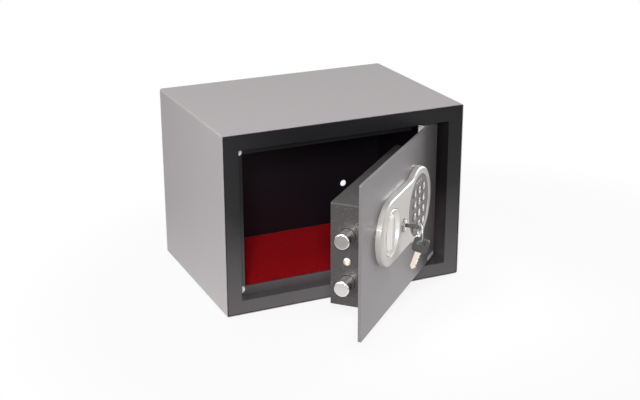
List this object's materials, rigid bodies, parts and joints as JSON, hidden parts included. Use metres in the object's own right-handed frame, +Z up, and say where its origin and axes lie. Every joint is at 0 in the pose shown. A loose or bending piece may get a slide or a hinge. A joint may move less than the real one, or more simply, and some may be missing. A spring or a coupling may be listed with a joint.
{
  "type": "home electronic safe",
  "caption": "Small sheet-steel home safe with a hinged slab door, dished knob, round bolts, keypad and an emergency key lock.",
  "frame": {"origin": "middle of the cabinet's footprint, on its base", "axes": "+X to the right seen from the front, +Y to the back, +Z up"},
  "size_m": [0.35, 0.428, 0.25],
  "materials": {
    "grey_paint": "textured powder coat",
    "dark_paint": "satin powder coat",
    "slab_paint": "satin powder coat",
    "box_paint": "fine textured paint",
    "bolt_chrome": "polished",
    "lock_chrome": "polished",
    "zinc_steel": "zinc plated",
    "ring_steel": "plated wire",
    "yellow_brass": "machined",
    "silver_plastic": "silver satin",
    "pad_plastic": "fine grain",
    "key_plastic": "fine grain",
    "lens_plastic": "clear",
    "board_laminate": "printed laminate",
    "black_plastic": "moulded",
    "red_plastic": "moulded",
    "cell_sleeve": "printed sleeve left bare",
    "red_carpet": "short pile",
    "pad_rubber": "soft"
  },
  "bodies": {
    "cabinet": {"body_wrap": "grey_paint", "front_frame": "dark_paint", "back_panel": "grey_paint", "floor_mat": "red_carpet", "stop_pad_upper": "pad_rubber", "stop_pad_lower": "pad_rubber"},
    "door": {"door_plate": "slab_paint", "hinge_bar": "zinc_steel", "hinge_pin_upper": "zinc_steel", "hinge_pin_lower": "zinc_steel", "bolt_box": "box_paint", "box_screw": "yellow_brass", "guide_stud_left": "zinc_steel", "guide_stud_right": "zinc_steel", "lock_cover": "silver_plastic", "keypad_panel": "pad_plastic", "lamp_1": "lens_plastic", "lamp_2": "lens_plastic", "lamp_3": "lens_plastic", "keypad_board": "board_laminate", "circuit_board": "board_laminate", "battery_holder": "black_plastic", "cell_1": "cell_sleeve", "cell_2": "cell_sleeve", "cell_3": "cell_sleeve", "cell_4": "cell_sleeve", "reset_switch": "black_plastic", "lock_barrel": "lock_chrome", "lock_nut": "zinc_steel", "solenoid": "zinc_steel"},
    "lid": {"battery_cover": "black_plastic"},
    "boltwork": {"bolt_carriage": "zinc_steel", "bolt_upper": "bolt_chrome", "bolt_lower": "bolt_chrome"},
    "knob": {"knob": "silver_plastic", "knob_spindle": "zinc_steel", "knob_crank": "zinc_steel"},
    "plug": {"lock_plug": "yellow_brass", "lift_cam": "zinc_steel", "key_blade": "yellow_brass", "key_bow": "black_plastic"},
    "locking_pin": {"locking_pin": "zinc_steel", "pin_spring": "ring_steel"},
    "ring": {"key_ring": "ring_steel"},
    "spare": {"spare_bow": "black_plastic", "spare_blade": "yellow_brass"},
    "reset_button": {"reset_button": "red_plastic"},
    "keypad_button_01": {"keypad_button_01": "key_plastic"},
    "keypad_button_02": {"keypad_button_02": "key_plastic"},
    "keypad_button_03": {"keypad_button_03": "key_plastic"},
    "keypad_button_04": {"keypad_button_04": "key_plastic"},
    "keypad_button_05": {"keypad_button_05": "key_plastic"},
    "keypad_button_06": {"keypad_button_06": "key_plastic"},
    "keypad_button_07": {"keypad_button_07": "key_plastic"},
    "keypad_button_08": {"keypad_button_08": "key_plastic"},
    "keypad_button_09": {"keypad_button_09": "key_plastic"},
    "keypad_button_10": {"keypad_button_10": "key_plastic"},
    "keypad_button_11": {"keypad_button_11": "key_plastic"},
    "keypad_button_12": {"keypad_button_12": "key_plastic"}
  },
  "joints": [
    {"name": "door_hinge", "type": "hinge", "parent": "cabinet", "child": "door", "pos_m": [0.132, -0.102, 0.126], "axis": [0, 0, 1], "range_deg": [-43.2, 56.8]},
    {"name": "knob_turn", "type": "hinge", "parent": "door", "child": "knob", "pos_m": [0.00299, -0.2451, 0.1344], "axis": [-0.6845, 0.729, 0], "range_deg": [0, 90]},
    {"name": "bolt_slide", "type": "slide", "parent": "door", "child": "boltwork", "axis": [0.729, 0.6845, 0], "range_m": [0, 0.01796]},
    {"name": "key_turn", "type": "hinge", "parent": "door", "child": "plug", "pos_m": [0.03725, -0.21292, 0.128], "axis": [0.6845, -0.729, 0], "range_deg": [-68.4, 21.6]},
    {"name": "pin_lift", "type": "slide", "parent": "door", "child": "locking_pin", "axis": [0, 0, 1], "range_m": [-0.0081, 0.0026], "deforming": ["pin_spring"]},
    {"name": "ring_swing", "type": "hinge", "parent": "plug", "child": "ring", "pos_m": [0.05484, -0.22727, 0.127], "axis": [0.9668, -0.2554, 0], "range_deg": [-8, 15]},
    {"name": "spare_key_swing", "type": "hinge", "parent": "ring", "child": "spare", "pos_m": [0.05484, -0.22727, 0.10689], "axis": [0.4179, 0.9085, 0], "range_deg": [-15, 12]},
    {"name": "battery_lid_slide", "type": "slide", "parent": "door", "child": "lid", "axis": [-0.6845, 0.729, 0], "range_m": [0, 0.06]},
    {"name": "reset_press", "type": "slide", "parent": "door", "child": "reset_button", "axis": [0.6845, -0.729, 0], "range_m": [0, 0.0015], "stiffness_N_per_m": 400},
    {"name": "keypad_button_01_press", "type": "slide", "parent": "door", "child": "keypad_button_01", "axis": [-0.6845, 0.729, 0], "range_m": [0, 0.0012], "stiffness_N_per_m": 400},
    {"name": "keypad_button_02_press", "type": "slide", "parent": "door", "child": "keypad_button_02", "axis": [-0.6845, 0.729, 0], "range_m": [0, 0.0012], "stiffness_N_per_m": 400},
    {"name": "keypad_button_03_press", "type": "slide", "parent": "door", "child": "keypad_button_03", "axis": [-0.6845, 0.729, 0], "range_m": [0, 0.0012], "stiffness_N_per_m": 400},
    {"name": "keypad_button_04_press", "type": "slide", "parent": "door", "child": "keypad_button_04", "axis": [-0.6845, 0.729, 0], "range_m": [0, 0.0012], "stiffness_N_per_m": 400},
    {"name": "keypad_button_05_press", "type": "slide", "parent": "door", "child": "keypad_button_05", "axis": [-0.6845, 0.729, 0], "range_m": [0, 0.0012], "stiffness_N_per_m": 400},
    {"name": "keypad_button_06_press", "type": "slide", "parent": "door", "child": "keypad_button_06", "axis": [-0.6845, 0.729, 0], "range_m": [0, 0.0012], "stiffness_N_per_m": 400},
    {"name": "keypad_button_07_press", "type": "slide", "parent": "door", "child": "keypad_button_07", "axis": [-0.6845, 0.729, 0], "range_m": [0, 0.0012], "stiffness_N_per_m": 400},
    {"name": "keypad_button_08_press", "type": "slide", "parent": "door", "child": "keypad_button_08", "axis": [-0.6845, 0.729, 0], "range_m": [0, 0.0012], "stiffness_N_per_m": 400},
    {"name": "keypad_button_09_press", "type": "slide", "parent": "door", "child": "keypad_button_09", "axis": [-0.6845, 0.729, 0], "range_m": [0, 0.0012], "stiffness_N_per_m": 400},
    {"name": "keypad_button_10_press", "type": "slide", "parent": "door", "child": "keypad_button_10", "axis": [-0.6845, 0.729, 0], "range_m": [0, 0.0012], "stiffness_N_per_m": 400},
    {"name": "keypad_button_11_press", "type": "slide", "parent": "door", "child": "keypad_button_11", "axis": [-0.6845, 0.729, 0], "range_m": [0, 0.0012], "stiffness_N_per_m": 400},
    {"name": "keypad_button_12_press", "type": "slide", "parent": "door", "child": "keypad_button_12", "axis": [-0.6845, 0.729, 0], "range_m": [0, 0.0012], "stiffness_N_per_m": 400}
  ],
  "couplings": [
    {"joint": "knob_turn", "follows": "bolt_slide", "rad_per_m": 87.46},
    {"joint": "pin_lift", "follows": "key_turn", "m_per_rad": 0.006701}
  ]
}
